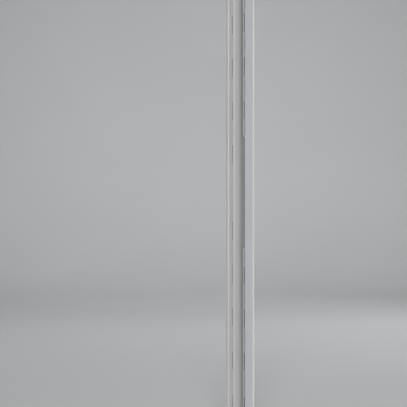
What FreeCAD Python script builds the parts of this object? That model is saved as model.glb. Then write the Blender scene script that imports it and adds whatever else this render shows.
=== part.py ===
"""Continuous (piano) hinge for a tall sheet-steel cabinet, drawn flat open.

Frame: the origin lies on the frame leaf's welding face, on the slotted strip, at mid-length. The plane X = 0 holds the
welding faces of both leaves, and +X points out of them, to the sheets that they are welded on. +Z runs up along the
pins, +Y points into the cabinet along the frame leaf, and -Y points along the door leaf. The visible side of the hinge,
with the barrel standing proud, faces -X. The pin axis is at X = -(PIN_D / 2 + BORE_CLEAR + SHEET), Y = -LAND_Y.

Everything is drawn about the pin axis, and moved to the origin at the end.

Pieces: a frame leaf (dished web, slotted strip, joggled lip, rolled knuckles), a door leaf (flat, rolled knuckles),
and two pins, because the barrel stops short of the middle from both ends.
"""
import FreeCAD, Part
import math
import os
from FreeCAD import Vector

# ---------------------------------------------------------------- driving dimensions, millimetres
LENGTH = 1100.0          # overall length along the pin axis
SHEET = 1.2              # thickness of both leaves
PIN_D = 3.0              # pin diameter
BORE_CLEAR = 0.05        # radial running clearance of the door knuckles on the pin
PITCH = 100.0            # frame knuckle to frame knuckle, and slot to slot
FIRST = 89.0             # centre of the first slot from mid-length; the first frame knuckle is one pitch further out
ROWS = 5                 # slots on each half
KNUCKLE_F = 41.4         # frame knuckle length
WINDOW_D = 42.0          # window in the door leaf around a frame knuckle
NOTCH = 127.0            # half-length of the stretch without knuckles at mid-length
NOTCH_SLANT = 4.0        # the barrel's ends at the notch are trimmed on a slant of this height
ROLL_TURN = 296.0        # how far each knuckle is rolled round, degrees
DOOR_W = 35.5            # door leaf, pin axis to free edge
DOOR_WINDOW_Y = 3.9      # depth of the door leaf's windows from the pin axis
DOOR_NOTCH_Y = 3.9       # door leaf edge along the notch
FRAME_WINDOW_S = 4.0     # depth of the frame leaf's windows, along the sheet from the tangent line
TONGUE_S = 2.6           # frame leaf's straight edge along the notch, forward of the tangent line
WEB_TILT = 15.0          # angle at which the frame leaf leaves its knuckles
WEB_END = (3.05, 38.3)   # rear end of the dished web, inner face
STRIP_IN = 1.55          # inner face of the slotted strip
STRIP_END_Y = 56.8       # rear end of the slotted strip
LIP_STEP = 2.5           # the lip stands this much further in than the strip
LIP_END_Y = 68.5         # rear free edge of the frame leaf
JOG_ANGLE = 65.0         # steepness of both joggles
JOG_R = 1.2              # centre-line bend radius of the joggles
SLOT_Y = 44.2            # slot centre line from the pin axis
SLOT_L = 42.0            # slot length, end to end
SLOT_W = 1.8             # slot width, clears a 1.5 mm sheet tab
CORNER_R = 3.0           # corner radius of both leaves' free edges
PIN_END_IN = 1.0         # the pins end this far inside the barrel's outer ends
LAND_Y = 50.0            # from the pin axis to the origin, on the slotted strip's welding face

RB = PIN_D / 2 + BORE_CLEAR          # bore radius of the knuckles, and inner face of the door leaf
RO = RB + SHEET                      # outer radius of the knuckles, and outer face of the door leaf
H = LENGTH / 2
TILT = math.radians(WEB_TILT)


# ---------------------------------------------------------------- helpers
class Sheet:
    """A bent sheet in section: a chain of straight runs and tangent arcs along the centre line, with both faces offset."""

    def __init__(self, x, y, heading, t):
        self.x, self.y, self.h, self.t = x, y, heading, t
        self.left, self.right = [], []
        self.first = (self._pt(+1), self._pt(-1))

    def _pt(self, side, x=None, y=None, h=None):
        x = self.x if x is None else x
        y = self.y if y is None else y
        h = self.h if h is None else h
        return Vector(x - side * math.sin(h) * self.t / 2, y + side * math.cos(h) * self.t / 2, 0)

    def line(self, length):
        a, b = self._pt(+1), self._pt(-1)
        self.x += length * math.cos(self.h)
        self.y += length * math.sin(self.h)
        self.left.append(Part.makeLine(a, self._pt(+1)))
        self.right.append(Part.makeLine(b, self._pt(-1)))
        return self

    def arc(self, radius, turn):
        """turn in radians, positive to the left; radius is the centre line's."""
        s = 1 if turn > 0 else -1
        cx, cy = self.x - s * radius * math.sin(self.h), self.y + s * radius * math.cos(self.h)
        x0, y0, h0 = self.x, self.y, self.h

        def at(f):
            h = h0 + turn * f
            return cx + s * radius * math.sin(h), cy - s * radius * math.cos(h), h

        pts = {}
        for f in (0.0, 0.5, 1.0):
            x, y, h = at(f)
            pts[f] = (self._pt(+1, x, y, h), self._pt(-1, x, y, h))
        self.left.append(Part.Arc(pts[0.0][0], pts[0.5][0], pts[1.0][0]).toShape())
        self.right.append(Part.Arc(pts[0.0][1], pts[0.5][1], pts[1.0][1]).toShape())
        self.x, self.y, self.h = at(1.0)
        return self

    def solid(self, z0, z1):
        last = (self._pt(+1), self._pt(-1))
        edges = self.left + [Part.makeLine(last[0], last[1])] + self.right[::-1] + [Part.makeLine(self.first[1], self.first[0])]
        wire = Part.Wire(Part.__sortEdges__(edges))
        face = Part.Face(wire)
        face.translate(Vector(0, 0, z0))
        return face.extrude(Vector(0, 0, z1 - z0))


def outline_prism(points, radii, axis, at, depth):
    """A prism from a closed outline of (u, z) points, with a corner radius at each, standing on the plane x = at and depth long along X."""
    n = len(points)
    edges, ends = [], []
    for i in range(n):
        p, q, r = points[i - 1], points[i], points[(i + 1) % n]
        a = Vector(0, p[0], p[1]) - Vector(0, q[0], q[1])
        b = Vector(0, r[0], r[1]) - Vector(0, q[0], q[1])
        rad = radii[i]
        c = Vector(0, q[0], q[1])
        if rad <= 0:
            ends.append((c, None, c))
            continue
        a.normalize()
        b.normalize()
        half = a.getAngle(b) / 2
        d = rad / math.tan(half)
        bis = (a + b)
        bis.normalize()
        centre = c + bis * (rad / math.sin(half))
        ends.append((c + a * d, centre - bis * rad, c + b * d))
    for i in range(n):
        s, m, e = ends[i]
        if m is not None:
            edges.append(Part.Arc(s, m, e).toShape())
        nxt = ends[(i + 1) % n][0]
        if (nxt - e).Length > 1e-7:
            edges.append(Part.makeLine(e, nxt))
    wire = Part.Wire(edges)
    face = Part.Face(wire)
    face.translate(Vector(at, 0, 0))
    return face.extrude(Vector(depth, 0, 0))


def window(edge, z0, z1, r):
    """Tool that opens a leaf from well past the axis (u = -9) to u = edge, between z0 and z1, with rounded inner corners."""
    return outline_prism([(-9, z0), (edge, z0), (edge, z1), (-9, z1)], [0, r, r, 0], None, -9.0, 18.0)


def roll_f(z0, z1, bore):
    """A frame knuckle: rolled anticlockwise and leaving the axis towards +Y, in the frame that has the sheet along +Y."""
    t = RO - bore
    rc = (RO + bore) / 2
    a0 = math.radians(-ROLL_TURN)
    s = Sheet(rc * math.cos(a0), rc * math.sin(a0), a0 + math.pi / 2, t)
    s.arc(rc, math.radians(ROLL_TURN))
    return s.solid(z0, z1)


def pin(z0, z1):
    p = Part.makeCylinder(PIN_D / 2, z1 - z0, Vector(0, 0, z0))
    ends = [e for e in p.Edges if isinstance(e.Curve, Part.Circle)]
    return p.makeChamfer(0.4, ends)


def stake(z):
    """A punch mark in a knuckle's visible side, which holds the pin."""
    a = math.radians(205)
    return Part.makeSphere(1.3, Vector((RO + 0.85) * math.cos(a), (RO + 0.85) * math.sin(a), z))


def one(shape):
    shape = shape.removeSplitter()
    assert shape.isValid(), "invalid shape"
    solids = shape.Solids
    assert len(solids) == 1, "%d solids" % len(solids)
    return solids[0]


ROTATE = -WEB_TILT       # the frame leaf's tangent plane is turned this much about the pin axis


def turned(shape):
    s = shape.copy()
    s.rotate(Vector(0, 0, 0), Vector(0, 0, 1), ROTATE)
    return s


# ---------------------------------------------------------------- frame leaf
knuckle_z = [s * (FIRST + PITCH * k) for k in range(1, ROWS) for s in (-1, 1)]
slot_z = [s * (FIRST + PITCH * k) for k in range(ROWS) for s in (-1, 1)]

p0 = (RB * math.cos(TILT), -RB * math.sin(TILT))               # inner face, tangent line
dx, dy = WEB_END[0] - p0[0], WEB_END[1] - p0[1]
half_turn = TILT - math.atan2(dx, dy)
web_r = math.hypot(dx, dy) / (2 * math.sin(half_turn))         # inner face radius of the dished web
web_turn = 2 * half_turn
rear_tilt = web_turn - TILT

rc = RB + SHEET / 2
sheet = Sheet(rc * math.cos(TILT), -rc * math.sin(TILT), math.pi / 2 - TILT, SHEET)
sheet.arc(web_r + SHEET / 2, web_turn)
jog = math.radians(JOG_ANGLE)
sheet.arc(JOG_R, jog - rear_tilt)
first_shift = JOG_R * (math.cos(rear_tilt) - math.cos(jog)) + JOG_R * (1 - math.cos(jog))
sheet_in = sheet.t / 2
need = (WEB_END[0] + sheet_in * math.cos(rear_tilt)) - (STRIP_IN + sheet_in)
sheet.line(max(0.02, (need - first_shift) / math.sin(jog)))
sheet.arc(JOG_R, -jog)
sheet.line(STRIP_END_Y - sheet.y)
sheet.arc(JOG_R, jog)
sheet.line((LIP_STEP - 2 * JOG_R * (1 - math.cos(jog))) / math.sin(jog))
sheet.arc(JOG_R, -jog)
sheet.line(LIP_END_Y - sheet.y)
frame = sheet.solid(-H, H)
print("web radius %.2f, rear tilt %.2f deg, strip centre x %.3f" % (web_r, math.degrees(rear_tilt), sheet.x))

# straight edge along the notch
tongue = Part.makeBox(SHEET, TONGUE_S + 0.6, 2 * (NOTCH - 0.3), Vector(RB, -TONGUE_S, -(NOTCH - 0.3)))
tongue = tongue.makeChamfer(1.8, [e for e in tongue.Edges if abs(e.BoundBox.YMin + TONGUE_S) < 1e-6 and e.BoundBox.YLength < 1e-6 and e.BoundBox.XLength > 1])
# windows for the door knuckles
windows = []
edges_z = sorted(knuckle_z)
for s in (-1, 1):
    inner = NOTCH - 0.3
    for k in range(1, ROWS):
        c = FIRST + PITCH * k
        lo, hi = inner, c - KNUCKLE_F / 2
        windows.append((lo, hi) if s > 0 else (-hi, -lo))
        inner = c + KNUCKLE_F / 2
    windows.append((inner, H + 5) if s > 0 else (-H - 5, -inner))
tools = [turned(window(FRAME_WINDOW_S, a, b, 0.5)) for a, b in windows]
frame = frame.cut(tools)
frame = frame.fuse([turned(tongue)] + [turned(roll_f(z - KNUCKLE_F / 2, z + KNUCKLE_F / 2, RB)) for z in knuckle_z])

# slots in the strip, and rounded rear corners
slots = []
for z in slot_z:
    a, b = z - SLOT_L / 2, z + SLOT_L / 2
    r = SLOT_W / 2
    core = Part.makeBox(8, SLOT_W, SLOT_L - SLOT_W, Vector(-2, SLOT_Y - r, a + r))
    e1 = Part.makeCylinder(r, 8, Vector(-2, SLOT_Y, a + r), Vector(1, 0, 0))
    e2 = Part.makeCylinder(r, 8, Vector(-2, SLOT_Y, b - r), Vector(1, 0, 0))
    slots.append(core.fuse([e1, e2]).removeSplitter())


def corner_tool(y, z, sy, sz, r):
    """Rounds the free corner at (y, z), whose sides run towards sy and sz."""
    box = Part.makeBox(20, r + 2, r + 2, Vector(-10, min(y - sy * 2, y + sy * r), min(z - sz * 2, z + sz * r)))
    cyl = Part.makeCylinder(r, 20, Vector(-10, y + sy * r, z + sz * r), Vector(1, 0, 0))
    return box.cut(cyl)


frame = frame.cut(slots + [corner_tool(LIP_END_Y, s * H, -1, -s, CORNER_R) for s in (-1, 1)]
                  + [stake(s * (FIRST + PITCH * k)) for s in (-1, 1) for k in (1, ROWS - 1)])
frame_leaf = one(frame)

# ---------------------------------------------------------------- door leaf
d = Sheet(rc * math.cos(math.radians(ROLL_TURN)), rc * math.sin(math.radians(ROLL_TURN)), math.radians(ROLL_TURN) - math.pi / 2, SHEET)
d.arc(rc, -math.radians(ROLL_TURN))
d.line(DOOR_W)
door = d.solid(-H, H)


def mirror_y(shape):
    return shape.mirror(Vector(0, 0, 0), Vector(0, 1, 0))


tools = [mirror_y(window(DOOR_WINDOW_Y, z - WINDOW_D / 2, z + WINDOW_D / 2, 0.5)) for z in knuckle_z]
# the notch at mid-length: straight along the leaf, slanted up past the barrel
n, q = NOTCH, NOTCH + NOTCH_SLANT
slant = outline_prism([(-DOOR_NOTCH_Y, -n), (RO + 0.3, -q), (9, -q), (9, q), (RO + 0.3, q), (-DOOR_NOTCH_Y, n)],
                      [1.5, 0, 0, 0, 0, 1.5], None, -9.0, 18.0)
tools.append(slant)
tools += [corner_tool(-DOOR_W, s * H, 1, -s, CORNER_R) for s in (-1, 1)]
door = door.cut(tools)
door_leaf = one(door)

# ---------------------------------------------------------------- pins
upper_pin = one(pin(NOTCH + 3.0, H - PIN_END_IN))
lower_pin = one(pin(-(H - PIN_END_IN), -(NOTCH + 3.0)))

# ---------------------------------------------------------------- export
NODES = {"frame_leaf": frame_leaf, "door_leaf": door_leaf, "upper_pin": upper_pin, "lower_pin": lower_pin}
os.makedirs("parts", exist_ok=True)
for name, shape in NODES.items():
    shape.translate(Vector(-RO, -LAND_Y, 0))
    shape.exportStep("parts/%s.step" % name)
    b = shape.BoundBox
    print("%-12s volume %10.1f mm3  x %.2f..%.2f  y %.2f..%.2f  z %.1f..%.1f  valid %s" % (
        name, shape.Volume, b.XMin, b.XMax, b.YMin, b.YMax, b.ZMin, b.ZMax, shape.isValid()))
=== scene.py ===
import bpy
import math
import numpy as np
from mathutils import Matrix, Vector
from mathutils.geometry import delaunay_2d_cdt


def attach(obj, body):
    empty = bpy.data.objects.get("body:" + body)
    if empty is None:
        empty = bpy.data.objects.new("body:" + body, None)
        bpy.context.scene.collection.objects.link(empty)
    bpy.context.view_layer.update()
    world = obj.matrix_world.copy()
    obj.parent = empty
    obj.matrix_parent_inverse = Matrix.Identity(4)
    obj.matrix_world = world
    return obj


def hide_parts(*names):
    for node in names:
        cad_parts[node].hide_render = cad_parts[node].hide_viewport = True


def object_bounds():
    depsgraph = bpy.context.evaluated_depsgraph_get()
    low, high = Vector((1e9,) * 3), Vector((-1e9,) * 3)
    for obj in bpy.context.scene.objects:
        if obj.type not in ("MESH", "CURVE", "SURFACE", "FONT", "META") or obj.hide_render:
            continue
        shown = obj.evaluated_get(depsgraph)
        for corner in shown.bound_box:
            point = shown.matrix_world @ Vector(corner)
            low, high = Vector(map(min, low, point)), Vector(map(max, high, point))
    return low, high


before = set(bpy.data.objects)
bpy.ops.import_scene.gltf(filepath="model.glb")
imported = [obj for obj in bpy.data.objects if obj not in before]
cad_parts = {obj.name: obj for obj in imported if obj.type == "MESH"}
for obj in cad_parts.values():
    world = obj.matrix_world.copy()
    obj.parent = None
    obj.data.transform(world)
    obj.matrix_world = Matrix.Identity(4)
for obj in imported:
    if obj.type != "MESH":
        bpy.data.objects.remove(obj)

bpy.context.view_layer.update()
cad_lo, cad_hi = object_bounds()

# ---------------------------------------------------------------------------------------------------------------- sizes
# Millimetres, drawn about the pin axis. They are the CAD's own, and SHIFT then moves everything to the row frame.
H = 550.0                      # half the length
T = 1.2                        # sheet
RB, RO = 1.55, 2.75            # bore and outside of the barrel
RC = (RB + RO) / 2             # centre line of the roll
TURN = math.radians(296.0)     # how far each knuckle is rolled
TILT = math.radians(15.0)      # the frame leaf's web at the barrel
NOTCH = 127.0
NOTCH_F = NOTCH - 0.3
KNUCKLES = [89.0 + 100.0 * k for k in range(1, 5)]
SLOTS = [89.0 + 100.0 * k for k in range(0, 5)]
KNUCKLE_F, WINDOW_D = 41.4, 42.0
SHIFT = np.array([-RO, -50.0, 0.0])
EDGE = 0.22                    # rounding of the sheet's edges under the coat


class Path:
    """The centre line of a bent sheet in section. s is the distance along it, from the line where the roll starts."""

    def __init__(self, x, y, heading, front):
        self.runs, self.end, self.marks = [], (x, y, heading), [0.0]
        self.front = front      # curvature for s < 0

    def run(self, length, turn=0.0):
        x, y, h = self.end
        s0, k = self.marks[-1], turn / length
        self.runs.append((s0, x, y, h, k))
        self.marks.append(s0 + length)
        self.end = self._move(x, y, h, k, length)
        return self

    @staticmethod
    def _move(x, y, h, k, u):
        if abs(k) < 1e-12:
            return x + u * math.cos(h), y + u * math.sin(h), h
        h2 = h + k * u
        return x + (math.sin(h2) - math.sin(h)) / k, y - (math.cos(h2) - math.cos(h)) / k, h2

    def at(self, s, rolled):
        """Place and heading at each s. Where rolled is false, the sheet runs straight on for s < 0."""
        out = np.zeros((len(s), 3))
        s0, x, y, h, _ = self.runs[0]
        for i, v in enumerate(s):
            if v < 0:
                out[i] = self._move(x, y, h, self.front if rolled[i] else 0.0, v)
                continue
            for j in range(len(self.runs) - 1, -1, -1):
                if v >= self.runs[j][0] - 1e-9:
                    a, px, py, ph, k = self.runs[j]
                    out[i] = self._move(px, py, ph, k, v - a)
                    break
        return out


def rounded(points, arc_step=math.radians(12)):
    """A closed outline with round corners. Each point is (s, z, radius). The inside of the sheet is on the left. Any
    radius but 0 is more than EDGE, so that the inset outline doesn't fold over itself.
    Gives rows of s, z and the outward direction."""
    rows, n = [], len(points)
    for i in range(n):
        p, q, r = (np.array(points[j % n][:2], float) for j in (i - 1, i, i + 1))
        rad = points[i][2]
        a, b = (q - p) / np.linalg.norm(q - p), (r - q) / np.linalg.norm(r - q)
        if rad == 0:            # a point on a smooth curve
            o = np.array([a[1] + b[1], -a[0] - b[0]])
            rows.append((*q, *(o / np.linalg.norm(o))))
            continue
        cross = a[0] * b[1] - a[1] * b[0]
        turn = math.atan2(cross, float(a @ b))
        d = rad * math.tan(abs(turn) / 2)
        side = 1.0 if turn > 0 else -1.0
        start = q - a * d
        centre = start + side * rad * np.array([-a[1], a[0]])
        steps = max(2, int(math.ceil(abs(turn) / arc_step)))
        first = start - centre
        for m in range(steps + 1):
            w = turn * m / steps
            v = np.array([first[0] * math.cos(w) - first[1] * math.sin(w), first[0] * math.sin(w) + first[1] * math.cos(w)])
            o = side * v / rad
            rows.append((*(centre + v), *o))
    return np.array(rows)


def slot_outline(s, z, length, width):
    """A slot with full-round ends, as a hole in the sheet."""
    r, half = width / 2, (length - width) / 2
    rows = []
    for end in (1, -1):
        for m in range(11):
            w = math.pi * m / 10
            v = np.array([math.cos(w) * -end, math.sin(w) * end])     # from one side, round the end, to the other
            rows.append((s + r * v[0], z + end * half + r * v[1], -v[0], -v[1]))
    return np.array(rows)


def build_sheet(name, path, loops, lines, z_steps, rolled_at, extra=(), reshape=None, fine=()):
    """A bent sheet with rounded edges, made from its flat blank.

    loops are outlines from rounded(), the outer one first. lines are the s of lines that the mesh follows. extra are
    (s, z) points to add. reshape may move the finished points. Lines that pass within 1.6 of a (s, z) in fine get
    points 0.2 apart there, so that they follow the reshaped surface."""
    # the flat face ends EDGE inside the outline, and each outline gets a point wherever a line crosses it
    rings = []
    for loop in loops:
        ins = loop.copy()
        ins[:, :2] -= EDGE * loop[:, 2:]
        keep = []
        for i in range(len(ins)):
            if i and np.linalg.norm(ins[i, :2] - keep[-1][:2]) < 1e-4:
                continue
            keep.append(ins[i])
        if np.linalg.norm(keep[0][:2] - keep[-1][:2]) < 1e-4:
            keep.pop()
        out = []
        for i, p in enumerate(keep):
            q = keep[(i + 1) % len(keep)]
            cuts = []
            for axis, marks in ((0, lines), (1, z_steps)):
                lo, hi = sorted((p[axis], q[axis]))
                if axis == 1 and hi - lo < 5:
                    continue
                for m in marks:
                    if lo + 2e-5 < m < hi - 2e-5:
                        cuts.append((m - p[axis]) / (q[axis] - p[axis]))
            out.append(p)
            for f in sorted(cuts):
                c = p * (1 - f) + q * f
                c[2:] /= np.linalg.norm(c[2:])
                out.append(c)
        rings.append(np.array(out))
    pts, edges, ring_of = [], [], []
    for ring in rings:
        base = len(pts)
        pts += [tuple(r[:2]) for r in ring]
        edges += [(base + i, base + (i + 1) % len(ring)) for i in range(len(ring))]
        ring_of.append(range(base, base + len(ring)))
    every, n_ring = np.vstack(rings), len(edges)
    a_all, b_all = [], []
    for ring in rings:
        a_all.append(ring[:, :2])
        b_all.append(np.roll(ring[:, :2], -1, axis=0))
    seg_a, seg_b = np.vstack(a_all), np.vstack(b_all)

    def inside(p):
        """Even-odd test of many points against the outlines."""
        out = np.zeros(len(p), bool)
        for c in range(0, len(p), 4000):
            q = p[c:c + 4000]
            y0, y1 = seg_a[None, :, 1], seg_b[None, :, 1]
            cond = (y0 > q[:, 1:2]) != (y1 > q[:, 1:2])
            with np.errstate(divide="ignore", invalid="ignore"):
                x = seg_a[None, :, 0] + (q[:, 1:2] - y0) / (y1 - y0) * (seg_b[None, :, 0] - seg_a[None, :, 0])
            out[c:c + 4000] = (np.sum(cond & (q[:, 0:1] < x), axis=1) % 2) == 1
        return out

    for s in lines:
        on = [i for i in range(len(every)) if abs(every[i, 0] - s) < 1e-6]
        on.sort(key=lambda i: every[i, 1])
        for a, b in zip(on, on[1:]):
            za, zb = every[a, 1], every[b, 1]
            if zb - za < 1e-3 or not inside(np.array([[s, (za + zb) / 2]]))[0]:
                continue
            chain = [a]
            close = [zf + 0.2 * k for sf, zf in fine if abs(s - sf) < 1.6 for k in range(-8, 9)]
            for z in sorted(set(z_steps) | set(close)):
                if za + 1.0 < z < zb - 1.0:
                    chain.append(len(pts))
                    pts.append((s, z))
            chain.append(b)
            edges += list(zip(chain, chain[1:]))
    pts += list(extra)
    got = delaunay_2d_cdt([Vector(p) for p in pts], edges, [], 0, 1e-6, True)
    flat = np.array([(v.x, v.y) for v in got[0]])
    tris = np.array([f for f in got[2] if len(f) == 3])
    place = {}
    for new, old in enumerate(got[3]):
        for o in old:
            place[o] = new
    a, b, c = (flat[tris[:, k]] for k in range(3))
    area = (b[:, 0] - a[:, 0]) * (c[:, 1] - a[:, 1]) - (b[:, 1] - a[:, 1]) * (c[:, 0] - a[:, 0])
    tris[area < 0] = tris[area < 0][:, ::-1]
    # the outlines part the triangles into regions, each kept or dropped whole by its largest triangle
    wall = {tuple(sorted(e)) for e, o in zip(got[1], got[4]) if any(k < n_ring for k in o)}
    across = {}
    for i, t in enumerate(tris.tolist()):
        for k in range(3):
            e = tuple(sorted((t[k], t[k - 1])))
            if e not in wall:
                across.setdefault(e, []).append(i)
    region = list(range(len(tris) + 1))      # the last is everything outside the hull

    def root(i):
        while region[i] != i:
            region[i] = region[region[i]]
            i = region[i]
        return i

    for pair in across.values():
        region[root(pair[0])] = root(pair[1] if len(pair) == 2 else len(tris))
    largest = {}
    for i in range(len(tris)):
        r = root(i)
        if r not in largest or abs(area[i]) > abs(area[largest[r]]):
            largest[r] = i
    kept = {r for r, i in largest.items() if r != root(len(tris)) and inside(flat[tris[i]].mean(axis=0)[None, :])[0]}
    tris = tris[[root(i) in kept for i in range(len(tris))]]

    rolled = rolled_at(flat[:, 1])
    ph = path.at(flat[:, 0], rolled)
    nv = len(flat)

    def lift(ph, n):
        return np.column_stack([ph[:, 0] - n * np.sin(ph[:, 2]), ph[:, 1] + n * np.cos(ph[:, 2])])

    co, no, attr, faces = [], [], [], []
    for sign in (1, -1):
        xy = lift(ph, sign * T / 2)
        co.append(np.column_stack([xy, flat[:, 1]]))
        no.append(np.column_stack([-sign * np.sin(ph[:, 2]), sign * np.cos(ph[:, 2]), np.zeros(nv)]))
        attr.append(np.column_stack([np.zeros(nv), flat[:, 0], np.full(nv, sign), np.zeros(nv), np.zeros(nv)]))
    faces += [tuple(t[::-1]) for t in tris]
    faces += [tuple(t + nv) for t in tris]
    base = 2 * nv
    steps = [math.radians(w) for w in (30, 60, 90)]
    for li, (ring, ids) in enumerate(zip(rings, ring_of)):
        idx = np.array([place[i] for i in ids])
        m = len(ring)
        cols = [idx]
        for sign, angles in ((1, steps), (-1, steps[::-1])):
            for w in angles:
                s = ring[:, 0] + EDGE * math.sin(w) * ring[:, 2]
                z = ring[:, 1] + EDGE * math.sin(w) * ring[:, 3]
                q = path.at(s, rolled_at(ring[:, 1]))
                xy = lift(q, sign * (T / 2 - EDGE * (1 - math.cos(w))))
                co.append(np.column_stack([xy, z]))
                out = np.column_stack([ring[:, 2] * np.cos(q[:, 2]), ring[:, 2] * np.sin(q[:, 2]), ring[:, 3]])
                side = np.column_stack([-sign * np.sin(q[:, 2]), sign * np.cos(q[:, 2]), np.zeros(m)])
                no.append(math.sin(w) * out + math.cos(w) * side)
                attr.append(np.column_stack([np.full(m, math.sin(w)), s, np.full(m, sign), np.full(m, li), np.abs(ring[:, 3])]))
                cols.append(base + np.arange(m))
                base += m
        cols.append(idx + nv)
        for a, b in zip(cols, cols[1:]):
            for i in range(m):
                j = (i + 1) % m
                faces.append((a[i], a[j], b[j], b[i]))
    co, no, attr = np.vstack(co), np.vstack(no), np.vstack(attr)
    if reshape:
        co, no = reshape(co, no, attr)
    # faces look the way their points do: the two sides and the rims are each turned as one
    fixed, n = [], len(tris)
    for group in (faces[:n], faces[n:2 * n], faces[2 * n:]):
        group = [[int(v) for v in f] for f in group]
        votes = 0.0
        for f in group:
            p = co[f]
            g = np.cross(p[1] - p[0], p[2] - p[0])
            if len(f) == 4:
                g = g + np.cross(p[2] - p[0], p[3] - p[0])
            votes += float(g @ no[f].sum(axis=0))
        fixed += [tuple(f[::-1] if votes < 0 else f) for f in group]
    me = bpy.data.meshes.new(name)
    me.from_pydata([tuple(v) for v in (co + SHIFT) / 1000.0], [], fixed)
    me.update()
    no = no / np.linalg.norm(no, axis=1)[:, None]
    for p in me.polygons:
        p.use_smooth = True
    me.normals_split_custom_set_from_vertices([tuple(v) for v in no])
    for col, label in ((0, "edge"),):
        at = me.attributes.new(label, "FLOAT", "POINT")
        at.data.foreach_set("value", attr[:, col].astype(np.float32))
    ob = bpy.data.objects.new(name, me)
    bpy.context.scene.collection.objects.link(ob)
    return ob, co, attr


def add_attribute(ob, label, values):
    at = ob.data.attributes.new(label, "FLOAT", "POINT")
    at.data.foreach_set("value", np.asarray(values, np.float32))


# ---------------------------------------------------------------------------------------------------------- frame leaf
p0 = (RB * math.cos(TILT), -RB * math.sin(TILT))
dx, dy = 3.05 - p0[0], 38.3 - p0[1]
half_turn = TILT - math.atan2(dx, dy)
web_r = math.hypot(dx, dy) / (2 * math.sin(half_turn)) + T / 2
rear = 2 * half_turn - TILT
jog, jr = math.radians(65.0), 1.2
fpath = Path(RC * math.cos(TILT), -RC * math.sin(TILT), math.pi / 2 - TILT, 1 / RC)
fpath.run(web_r * 2 * half_turn, 2 * half_turn)
fpath.run(jr * (jog - rear), jog - rear)
shift1 = jr * (math.cos(rear) - math.cos(jog)) + jr * (1 - math.cos(jog))
need = (3.05 + T / 2 * math.cos(rear)) - (RB + T / 2)
fpath.run(max(0.02, (need - shift1) / math.sin(jog)))
fpath.run(jr * jog, -jog)
fpath.run(56.8 - fpath.end[1])
fpath.run(jr * jog, jog)
fpath.run((2.5 - 2 * jr * (1 - math.cos(jog))) / math.sin(jog))
fpath.run(jr * jog, -jog)
fpath.run(68.5 - fpath.end[1])
F = fpath.marks
strip_s0 = F[4]
strip_y0 = fpath.runs[4][2]
slot_s = strip_s0 + 44.2 - strip_y0
S_END = F[-1]
ROLL = TURN * RC

c = 0.35        # corners of the knuckles and the tongue
outer = [(S_END, -H, 3.0), (S_END, H, 3.0)]
front = []      # going down the front edge, from the top
front.append((4.0, H, c))
for k in reversed(KNUCKLES):
    front += [(4.0, k + KNUCKLE_F / 2, 0.5), (-ROLL, k + KNUCKLE_F / 2, c), (-ROLL, k - KNUCKLE_F / 2, c), (4.0, k - KNUCKLE_F / 2, 0.5)]
front += [(4.0, NOTCH_F, 0.5), (-0.8, NOTCH_F, c), (-2.6, NOTCH_F - 1.8, c)]
front += [(s, -z, r) for s, z, r in front[::-1]]
frame_outline = rounded(outer + front)
frame_loops = [frame_outline] + [slot_outline(slot_s, e * z, 42.0, 1.8) for z in SLOTS for e in (1, -1)]

lines = [-ROLL + ROLL / 30 * k for k in range(1, 30)] + [0.0, 1.5, 3.0, 5.2]
n_web = 12
lines += [5.2 + (F[1] - 5.2) * k / n_web for k in range(1, n_web + 1)]


def arc_lines(a, b, n):
    return [a + (b - a) * k / n for k in range(1, n + 1)]


for i, n in ((1, 8), (2, 1), (3, 8), (5, 9), (6, 1), (7, 9)):
    if i == 5:
        lines.append(F[5])
    lines += arc_lines(F[i], F[i + 1], n)
lines += [S_END - 2.7, S_END - 2.0, S_END - 1.4]
lines = sorted(set(round(v, 6) for v in lines))
lines = [v for i, v in enumerate(lines) if i == 0 or v - lines[i - 1] > 0.02]
z_steps = [25.0 * k for k in range(-21, 22)]

# punch marks that hold the pins in the first and last frame knuckle
STAKE_R, STAKE_D, STAKE_A = 1.3, RO + 0.85, math.radians(205)
stake_s = (STAKE_A - 2 * math.pi + TILT) * RC
stakes = [e * z for z in (KNUCKLES[0], KNUCKLES[-1]) for e in (1, -1)]
extra = []
for z in stakes:
    for rad, n in ((0.0, 1), (0.25, 6), (0.5, 10), (0.75, 16), (0.93, 22), (1.0, 26), (1.15, 22), (1.5, 18)):
        for m in range(n):
            w = 2 * math.pi * (m + 0.37) / n
            extra.append((stake_s + rad * math.cos(w) * RC / RO, z + rad * math.sin(w)))


def punch(co, no, attr):
    co, no = co.copy(), no.copy()
    outer_face = (attr[:, 2] < 0) & (attr[:, 0] == 0) & (attr[:, 1] < 0)
    for z in stakes:
        near = outer_face & (np.abs(co[:, 2] - z) < 1.3)
        ang = np.arctan2(co[:, 1], co[:, 0]) - STAKE_A
        ang = (ang + math.pi) % (2 * math.pi) - math.pi
        dz = co[:, 2] - z
        under = STAKE_R ** 2 - dz ** 2 - (STAKE_D * np.sin(ang)) ** 2
        r = STAKE_D * np.cos(ang) - np.sqrt(np.maximum(under, 0))
        hit = near & (under > 0) & (np.abs(ang) < 0.6) & (r < RO)
        u = co[hit, :2] / np.linalg.norm(co[hit, :2], axis=1)[:, None]
        co[hit, :2] = u * r[hit][:, None]
        centre = np.array([STAKE_D * math.cos(STAKE_A), STAKE_D * math.sin(STAKE_A), z])
        no[hit] = (centre - co[hit]) / STAKE_R
    return co, no


frame_ob, fco, fattr = build_sheet("frame_leaf_sheet", fpath, frame_loops, lines, z_steps,
                                   lambda z: np.abs(z) > NOTCH_F + 5, extra, punch, [(stake_s, z) for z in stakes])
frame_loops_n = len(frame_loops)

# ----------------------------------------------------------------------------------------------------------- door leaf
dpath = Path(RC, 0.0, -math.pi / 2, -1 / RC)
dpath.run(35.5)


def roll_y(s):
    """Y of the door leaf's centre line."""
    return -s if s >= 0 else RC * math.sin(-s / RC)


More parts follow.
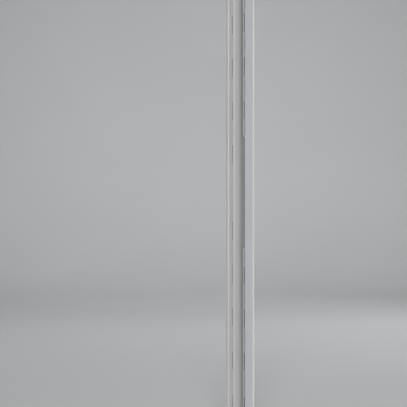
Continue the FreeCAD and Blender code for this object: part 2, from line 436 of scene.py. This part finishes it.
def slant_z(s):
    return NOTCH + 4.0 * (roll_y(s) + 3.9) / (3.9 + 3.05)


top = []        # the front edge of the upper half, from the top down
top.append((-ROLL, H, c))
for k in reversed(KNUCKLES):
    top += [(-ROLL, k + WINDOW_D / 2, c), (3.9, k + WINDOW_D / 2, 0.5), (3.9, k - WINDOW_D / 2, 0.5), (-ROLL, k - WINDOW_D / 2, c)]
# the barrel's trimmed end, whose line on the blank is a wave
n_wave = 40
top.append((-ROLL, slant_z(-ROLL), c))
wave = [-ROLL + ROLL * k / n_wave for k in range(4, n_wave + 1)]
top += [(s, slant_z(s), 0) for s in wave]
top += [(3.9, NOTCH, 1.2)]
door_front = top + [(s, -z, r) for s, z, r in top[::-1]]
door_outline = rounded([(35.5, -H, 3.0), (35.5, H, 3.0)] + door_front)
d_lines = [-ROLL + ROLL / 30 * k for k in range(1, 30)] + [0.0, 5.5, 30.7, 31.5, 32.3, 33.1, 34.1]
d_lines = [round(v + 0.0131 if v < 0 else v, 6) for v in d_lines]


def trim(co, no, attr):
    """The barrel's ends at the notch are cut along X, so both faces of the sheet end on one plane."""
    co, no = co.copy(), no.copy()
    for e in (1, -1):
        end = (attr[:, 1] < 3.2) & (co[:, 2] * e > NOTCH - 2) & (co[:, 2] * e < NOTCH + 6)
        centre = np.array([roll_y(s) for s in attr[end, 1]])
        co[end, 2] += e * 4.0 / 6.95 * (co[end, 1] - centre)
    return co, no


door_ob, dco, dattr = build_sheet("door_leaf_sheet", dpath, [door_outline], d_lines, z_steps,
                                  lambda z: np.abs(z) > 0, (), trim)

# ---------------------------------------------------------------------------------------------------------------- pins


def lathe(name, profile, segments=48):
    """Turned about the pin axis. profile is rows of (radius, z, normal r, normal z), the first and last on the axis."""
    co, no, faces = [], [], []
    rows = []
    for r, z, nr, nz in profile:
        if r < 1e-9:
            rows.append([len(co)])
            co.append((0, 0, z))
            no.append((0, 0, 1 if nz > 0 else -1))
            continue
        rows.append(list(range(len(co), len(co) + segments)))
        for m in range(segments):
            w = 2 * math.pi * m / segments
            co.append((r * math.cos(w), r * math.sin(w), z))
            no.append((nr * math.cos(w), nr * math.sin(w), nz))
    for a, b in zip(rows, rows[1:]):
        for m in range(segments):
            q = (m + 1) % segments
            if len(a) == 1:
                faces.append((a[0], b[q], b[m]))
            elif len(b) == 1:
                faces.append((a[m], a[q], b[0]))
            else:
                faces.append((a[m], a[q], b[q], b[m]))
    me = bpy.data.meshes.new(name)
    me.from_pydata([tuple(v) for v in (np.array(co) + SHIFT) / 1000.0], [], faces)
    me.update()
    for p in me.polygons:
        p.use_smooth = True
    me.normals_split_custom_set_from_vertices([tuple(Vector(v).normalized()) for v in no])
    ob = bpy.data.objects.new(name, me)
    bpy.context.scene.collection.objects.link(ob)
    return ob


def pin_mesh(name, z0, z1):
    """Drawn wire with a cropped, slightly rounded end each way."""
    r, prof = 1.5, []
    b = 0.4
    prof.append((0.0, z0, 0, -1))
    prof.append((0.6, z0, 0, -1))
    for m in range(7):
        w = math.pi / 2 * m / 6
        prof.append((r - b + b * math.sin(w), z0 + b - b * math.cos(w), math.sin(w), -math.cos(w)))
    n = max(2, int((z1 - z0) / 50))
    for m in range(1, n):
        prof.append((r, z0 + (z1 - z0) * m / n, 1, 0))
    for m in range(7):
        w = math.pi / 2 * (1 - m / 6)
        prof.append((r - b + b * math.sin(w), z1 - b + b * math.cos(w), math.sin(w), math.cos(w)))
    prof.append((0.6, z1, 0, 1))
    prof.append((0.0, z1, 0, 1))
    return lathe(name, prof)


upper_ob = pin_mesh("upper_pin_wire", NOTCH + 3.0, H - 1.0)
lower_ob = pin_mesh("lower_pin_wire", -(H - 1.0), -(NOTCH + 3.0))

# ----------------------------------------------------------------------------------------------- places on the coatings


def smooth(x, a, b):
    t = np.clip((x - a) / (b - a), 0, 1)
    return t * t * (3 - 2 * t)


def masks(ob, co, attr, deep_s, slots, s_end, highlight_w):
    """Painted shade on slot walls, windows and the bore, on the barrel, its flank by the windows and the web beside it;
    a painted highlight on the long free edge. rub: ends of knuckles.
    """
    edge, s, side, loop, nz = attr.T
    bore = (s < 0.3) & (side > 0) if ob is frame_ob else (s < 0.3) & (side < 0)
    knuckle = np.abs(co[:, 2]) > NOTCH
    bore &= knuckle
    # painted shade in the slot walls, the window walls and the bore
    recess_shade = np.zeros(len(co))
    if slots:
        recess_shade = np.maximum(recess_shade, np.where(side > 0, smooth(edge, 0.35, 0.9), smooth(edge, 0.0, 0.5)) * (loop > 0))
    recess_shade = np.maximum(recess_shade, edge * ((loop == 0) & (s > 2.6) & (s < deep_s + 0.6)))
    recess_shade = np.maximum(recess_shade, 0.85 * bore)
    add_attribute(ob, "recess_shade", recess_shade)
    rub = edge * ((loop == 0) & (nz > 0.7) & (s < 0.5) & knuckle)
    add_attribute(ob, "rub", rub)
    # painted highlight on the long free edge and the face beside it
    add_attribute(ob, "free_edge_highlight", smooth(s, s_end - highlight_w, s_end - highlight_w / 2) * (loop == 0))
    # barrel: painted shade on the rolled part. It fades out where the sheet leaves the roll.
    polar = np.degrees(np.arctan2(co[:, 1], co[:, 0])) % 360
    rolled = (s < 0.2) & knuckle
    barrel = np.where(rolled, smooth(-s, 0.2, 1.4), 0.0)
    # painted shade on the frame knuckles' flank that faces the door leaf's windows
    if ob is frame_ob:       # the side that faces the door leaf's windows
        flank = smooth(polar, 240, 268) * (1 - smooth(polar, 336, 348))
        add_attribute(ob, "flank_shade", np.where(rolled, flank, 0.0))
    else:
        add_attribute(ob, "flank_shade", np.zeros(len(co)))
    add_attribute(ob, "barrel", barrel)
    # the web by the barrel: painted shade, darkest in the corner
    if ob is frame_ob:
        web_shade = np.where(side > 0, 1 - smooth(s, 6.0, 31.0), 0.0)
        notch_web_shade = web_shade * (1.05 - 0.35 * smooth(s, -2.5, 3.5) + 0.27 * smooth(s, 6.0, 14.0))
        web_shade = np.where((s < -0.3) & knuckle, 0.0, web_shade * (1.08 - 0.08 * smooth(s, 10.0, 18.0)))
    else:
        web_shade = notch_web_shade = np.zeros(len(co))
    add_attribute(ob, "web_shade", web_shade)
    add_attribute(ob, "web_shade_notch", notch_web_shade)      # painted shade along the notch, where no barrel stands, with its own strength


masks(frame_ob, fco, fattr, 4.0, True, S_END, 2.8)
masks(door_ob, dco, dattr, 3.9, False, 35.5, 4.8)

# ----------------------------------------------------------------------------------------------------------- materials


class Nodes:
    """Short names for building a material's nodes."""

    def __init__(self, name):
        self.mat = bpy.data.materials.new(name)
        self.mat.use_nodes = True
        self.tree = self.mat.node_tree
        self.tree.nodes.clear()
        self.out = self.add("ShaderNodeOutputMaterial")

    def add(self, kind, **values):
        n = self.tree.nodes.new(kind)
        for k, v in values.items():
            setattr(n, k, v)
        return n

    def link(self, a, b):
        self.tree.links.new(a, b)

    def set(self, socket, value):
        if isinstance(value, bpy.types.NodeSocket):
            self.link(value, socket)
        else:
            socket.default_value = value

    def noise(self, vector, scale, detail=3.0, rough=0.55, distortion=0.0):
        n = self.add("ShaderNodeTexNoise")
        self.link(vector, n.inputs["Vector"])
        n.inputs["Scale"].default_value = scale
        n.inputs["Detail"].default_value = detail
        n.inputs["Roughness"].default_value = rough
        n.inputs["Distortion"].default_value = distortion
        return n.outputs["Fac"]

    def math(self, op, a, b=0.0, c=None, clamp=False):
        n = self.add("ShaderNodeMath", operation=op, use_clamp=clamp)
        self.set(n.inputs[0], a)
        self.set(n.inputs[1], b)
        if c is not None:
            self.set(n.inputs[2], c)
        return n.outputs[0]

    def ramp(self, value, a, b, to0=0.0, to1=1.0):
        n = self.add("ShaderNodeMapRange", clamp=True, interpolation_type="SMOOTHSTEP")
        self.set(n.inputs["Value"], value)
        for k, v in (("From Min", a), ("From Max", b), ("To Min", to0), ("To Max", to1)):
            n.inputs[k].default_value = v
        return n.outputs["Result"]

    def mix(self, fac, a, b, blend="MIX"):
        n = self.add("ShaderNodeMix", data_type="RGBA", blend_type=blend)
        self.set(n.inputs["Factor"], fac)
        for i, v in ((6, a), (7, b)):
            self.set(n.inputs[i], v)
        return n.outputs[2]

    def attribute(self, name):
        return self.add("ShaderNodeAttribute", attribute_name=name, attribute_type="GEOMETRY").outputs["Fac"]

    def mapping(self, vector, scale):
        n = self.add("ShaderNodeMapping")
        self.link(vector, n.inputs["Vector"])
        n.inputs["Scale"].default_value = scale
        return n.outputs["Vector"]

    def bump(self, height, strength, distance, normal=None):
        n = self.add("ShaderNodeBump")
        n.inputs["Strength"].default_value = strength
        n.inputs["Distance"].default_value = distance
        self.link(height, n.inputs["Height"])
        if normal is not None:
            self.link(normal, n.inputs["Normal"])
        return n.outputs["Normal"]


def powder_coat(name, colour, warm, recess_shade_colour, barrel_shade_colour, free_edge_highlight_colour, bare):
    """Smooth, satin powder coat on cold-rolled sheet: a slow drift of tone, fine orange peel, painted shade in slots,
    windows and the bore, bright steel where the knuckles' ends rub, and a few worn spots on the edges. Painted shade
    also darkens the barrel, its flank by the windows, the web beside it and the crevices, and a painted highlight
    lightens the long free edge."""
    m = Nodes(name)
    pos = m.add("ShaderNodeTexCoord").outputs["Object"]
    slow = m.noise(m.mapping(pos, (1.0, 1.0, 0.35)), 26.0, 2.0, 0.5)
    fleck = m.noise(pos, 1500.0, 2.0, 0.5)
    tone = m.mix(m.ramp(slow, 0.3, 0.7), (*[v * 0.985 for v in colour], 1), (*[v * w for v, w in zip(colour, warm)], 1))
    tone = m.mix(m.ramp(fleck, 0.25, 0.75, 0.0, 0.07), tone, (0.42, 0.43, 0.44, 1))
    # faint wipe marks along the length
    wipe = m.noise(m.mapping(pos, (160.0, 160.0, 7.0)), 1.0, 3.0, 0.6)
    tone = m.mix(m.ramp(wipe, 0.52, 0.78, 0.0, 0.05), tone, (0.50, 0.50, 0.49, 1))
    edge, recess_shade, rub = m.attribute("edge"), m.attribute("recess_shade"), m.attribute("rub")
    grit = m.noise(pos, 420.0, 4.0, 0.62)
    recess_shade_f = m.math("MULTIPLY", recess_shade, m.ramp(grit, 0.25, 0.6, 0.82, 1.0))
    # painted shade on the barrel
    tone = m.mix(m.math("MULTIPLY", m.attribute("barrel"), m.ramp(grit, 0.2, 0.75, 0.70, 0.90)), tone, barrel_shade_colour)
    # painted shade in slots, windows and the bore, and on the frame knuckles' flank by the windows
    tone = m.mix(m.math("MAXIMUM", recess_shade_f, m.math("MULTIPLY", m.attribute("flank_shade"), 0.9)), tone, recess_shade_colour)
    # edges: the film is a little thinner on the crest and shows slightly darker, with rare chips
    tone = m.mix(m.math("MULTIPLY", edge, m.ramp(grit, 0.35, 0.7, 0.0, 0.10)), tone, (0.30, 0.30, 0.30, 1))
    # painted highlight on the long free edge
    tone = m.mix(m.math("MULTIPLY", m.attribute("free_edge_highlight"), m.ramp(grit, 0.2, 0.7, 0.80, 1.0)), tone, free_edge_highlight_colour)
    chip = m.math("MULTIPLY", edge, m.ramp(m.noise(pos, 190.0, 4.0, 0.7), 0.70, 0.745))
    wear = m.math("MAXIMUM", chip, m.math("MULTIPLY", rub, m.ramp(grit, 0.3, 0.62)), clamp=True)
    tone = m.mix(wear, tone, bare)
    # painted shade on the web beside the barrel, with its own strength along the notch
    smear = m.noise(m.mapping(pos, (90.0, 90.0, 14.0)), 1.0, 4.0, 0.6)
    place = m.add("ShaderNodeSeparateXYZ")
    m.link(pos, place.inputs[0])
    in_gap = m.ramp(m.math("ABSOLUTE", place.outputs["Z"]), (NOTCH - 5) / 1000, (NOTCH + 6) / 1000, 1.0, 0.0)
    web_shade, web_shade_notch = m.attribute("web_shade"), m.attribute("web_shade_notch")
    web_shade = m.math("MULTIPLY_ADD", m.math("SUBTRACT", web_shade_notch, web_shade), in_gap, web_shade)
    tone = m.mix(m.math("MULTIPLY", web_shade, m.ramp(smear, 0.2, 0.8, 0.53, 0.66)), tone, (0.10, 0.10, 0.098, 1))
    # painted shade in crevices, from ambient occlusion
    ao = m.add("ShaderNodeAmbientOcclusion", samples=8)
    ao.inputs["Distance"].default_value = 0.005
    ao_shade = m.math("MULTIPLY", m.ramp(ao.outputs["AO"], 0.85, 0.2), 0.45)
    tone = m.mix(ao_shade, tone, (0.23, 0.225, 0.215, 1))
    b = m.add("ShaderNodeBsdfPrincipled")
    m.link(tone, b.inputs["Base Color"])
    rough = m.math("ADD", m.ramp(fleck, 0.2, 0.8, 0.36, 0.44), m.ramp(wipe, 0.4, 0.8, 0.0, 0.07))
    rough = m.math("ADD", rough, m.math("MULTIPLY", recess_shade, 0.16), clamp=True)
    m.link(rough, b.inputs["Roughness"])
    m.link(m.math("MULTIPLY", wear, 0.85), b.inputs["Metallic"])
    b.inputs["IOR"].default_value = 1.5
    b.inputs["Specular IOR Level"].default_value = 0.42
    peel = m.noise(pos, 780.0, 2.0, 0.45)
    peel2 = m.noise(pos, 2300.0, 1.0, 0.4)
    height = m.math("ADD", m.math("MULTIPLY", peel, 1.0), m.math("MULTIPLY", peel2, 0.25))
    normal = m.bump(height, 0.38, 0.00008)
    normal = m.bump(wear, 0.25, 0.00005, normal)
    m.link(normal, b.inputs["Normal"])
    m.link(b.outputs[0], m.out.inputs["Surface"])
    return m.mat


def drawn_wire(name):
    """Bright zinc-plated wire: draw lines along it and a patchy passivated tone."""
    m = Nodes(name)
    pos = m.add("ShaderNodeTexCoord").outputs["Object"]
    draw = m.noise(m.mapping(pos, (2600.0, 2600.0, 12.0)), 1.0, 3.0, 0.6)
    patch = m.noise(m.mapping(pos, (1.0, 1.0, 0.4)), 210.0, 4.0, 0.6)
    tone = m.mix(m.ramp(patch, 0.3, 0.7), (0.60, 0.61, 0.60, 1), (0.70, 0.69, 0.66, 1))
    tone = m.mix(m.ramp(draw, 0.45, 0.8, 0.0, 0.35), tone, (0.42, 0.42, 0.41, 1))
    b = m.add("ShaderNodeBsdfPrincipled")
    m.link(tone, b.inputs["Base Color"])
    b.inputs["Metallic"].default_value = 1.0
    m.link(m.math("ADD", m.ramp(draw, 0.3, 0.8, 0.24, 0.40), m.ramp(patch, 0.3, 0.8, 0.0, 0.10)), b.inputs["Roughness"])
    m.link(m.bump(draw, 0.25, 0.00003), b.inputs["Normal"])
    m.link(b.outputs[0], m.out.inputs["Surface"])
    return m.mat


# after the base colour and its drift: painted shade for slots, windows and bore, painted shade for the barrel, painted
# highlight for the free edge, then bare steel
FRAME_COAT = powder_coat("frame_leaf_coat", (0.600, 0.600, 0.596), (1.015, 1.008, 0.995), (0.055, 0.055, 0.055, 1), (0.27, 0.27, 0.27, 1), (0.76, 0.76, 0.755, 1), (0.50, 0.50, 0.49, 1))
DOOR_COAT = powder_coat("door_leaf_coat", (0.690, 0.706, 0.738), (1.000, 1.006, 1.012), (0.055, 0.056, 0.058, 1), (0.27, 0.273, 0.28, 1), (0.90, 0.905, 0.92, 1), (0.50, 0.50, 0.49, 1))
WIRE = drawn_wire("pin_steel")

for ob, mat, body, node, slot_name in ((frame_ob, FRAME_COAT, "frame", "frame_leaf", "frame_leaf_coat"),
                                       (door_ob, DOOR_COAT, "door", "door_leaf", "door_leaf_coat"),
                                       (upper_ob, WIRE, "frame", "upper_pin", "pin_steel"),
                                       (lower_ob, WIRE, "frame", "lower_pin", "pin_steel")):
    ob.data.materials.append(mat)
    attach(ob, body)
    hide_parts(node)
    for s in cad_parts[node].material_slots:
        s.material = mat

# --------------------------------------------------------------------------------------------------- floor and backdrop


def stage_material(name, colour):
    m = Nodes(name)
    pos = m.add("ShaderNodeTexCoord").outputs["Object"]
    n = m.noise(pos, 1.3, 3.0, 0.5)
    tone = m.mix(m.ramp(n, 0.3, 0.7), (*[v * 0.99 for v in colour], 1), (*[v * 1.01 for v in colour], 1))
    b = m.add("ShaderNodeBsdfPrincipled")
    m.link(tone, b.inputs["Base Color"])
    b.inputs["Roughness"].default_value = 0.9
    b.inputs["Specular IOR Level"].default_value = 0.15
    m.link(b.outputs[0], m.out.inputs["Surface"])
    return m.mat


def studio(radius, sweep, height, z, segments=96, arc=16):
    """A round floor that sweeps up into a wall, so that every view has the same plain ground behind it."""
    prof = [(0.0, 0.0)] + [(radius * k / 8, 0.0) for k in range(1, 9)]
    for k in range(1, arc + 1):
        w = math.pi / 2 * k / arc
        prof.append((radius + sweep * math.sin(w), sweep * (1 - math.cos(w))))
    prof.append((radius + sweep, height))
    co, faces = [(0, 0, z)], []
    for r, h in prof[1:]:
        for m in range(segments):
            w = 2 * math.pi * m / segments
            co.append((r * math.cos(w), r * math.sin(w), z + h))
    for m in range(segments):
        faces.append((0, 1 + m, 1 + (m + 1) % segments))
    for k in range(len(prof) - 2):
        a, b = 1 + k * segments, 1 + (k + 1) * segments
        for m in range(segments):
            q = (m + 1) % segments
            faces.append((a + m, b + m, b + q, a + q))
    me = bpy.data.meshes.new("studio_floor")
    me.from_pydata(co, [], faces)
    me.update()
    for p in me.polygons:
        p.use_smooth = True
    ob = bpy.data.objects.new("studio_floor", me)
    bpy.context.scene.collection.objects.link(ob)
    return ob


floor = studio(4.6, 1.6, 3.4, cad_lo.z - 0.0005)
floor.data.materials.append(stage_material("studio_grey", (0.76, 0.765, 0.77)))

# --------------------------------------------------------------------------------------------------------------- lights


def area(name, direction, distance, size, power, target=(0, -0.03, 0), spread=180):
    d = Vector(direction).normalized()
    light = bpy.data.lights.new(name, "AREA")
    light.shape = "RECTANGLE"
    light.size, light.size_y = size
    light.energy = power
    light.spread = math.radians(spread)
    ob = bpy.data.objects.new(name, light)
    ob.location = Vector(target) + d * distance
    ob.rotation_euler = d.to_track_quat("Z", "Y").to_euler()
    bpy.context.scene.collection.objects.link(ob)
    return ob


area("key", (-0.60, -0.80, 0.22), 5.0, (1.4, 2.0), 52.0, target=(0, -0.03, -0.15), spread=110)
area("fill_back", (0.92, 0.35, 0.45), 3.6, (2.0, 2.0), 20.0)
area("floor_behind", (0.0, 0.0, 1.0), 2.6, (2.6, 2.6), 24.0, target=(1.5, 2.1, -0.1))
area("floor_front", (0.0, 0.0, 1.0), 2.4, (1.6, 1.6), 8.0, target=(-0.3, -0.5, -0.1))
# the wall all round, from high up and outwards
for i, (az, power) in enumerate(((36, 7.0), (-40, 9.0), (100, 9.5), (160, 9.0), (-145, 10.0), (-90, 11.0))):
    w = math.radians(az)
    out_dir = Vector((math.sin(w), math.cos(w), 0))
    area("wall_%d" % i, -(out_dir + Vector((0, 0, -1.0))), 0.0, (2.4, 0.6), power, tuple(out_dir * 3.2 + Vector((0, 0, 2.8))), 90)

world = bpy.data.worlds.new("studio_light")
bpy.context.scene.world = world
world.use_nodes = True
bg = world.node_tree.nodes.get("Background") or world.node_tree.nodes.new("ShaderNodeBackground")
bg.inputs["Color"].default_value = (0.97, 0.985, 1.0, 1)
bg.inputs["Strength"].default_value = 0.12
out = world.node_tree.nodes.get("World Output") or world.node_tree.nodes.new("ShaderNodeOutputWorld")
world.node_tree.links.new(bg.outputs[0], out.inputs["Surface"])
bpy.context.scene.view_settings.view_transform = "Standard"

# --------------------------------------------------------------------------------------------------------------- camera
PIN = Vector((-0.00275, -0.05, 0.0))
cam_data = bpy.data.cameras.new("camera")
cam_data.sensor_width = 36.0
cam_data.lens = 114.9
cam_data.dof.use_dof = False
cam = bpy.data.objects.new("camera", cam_data)
yaw, pitch = math.radians(36.0), 0.0
look = Vector((math.sin(yaw) * math.cos(pitch), math.cos(yaw) * math.cos(pitch), math.sin(pitch)))
cam.location = (-1.829, -2.407, -0.0252)
cam.rotation_mode = "QUATERNION"
cam.rotation_quaternion = (-look).to_track_quat("Z", "Y")
bpy.context.scene.collection.objects.link(cam)
bpy.context.scene.camera = cam
cam_data.clip_start, cam_data.clip_end = 0.05, 60.0

bpy.context.view_layer.update()
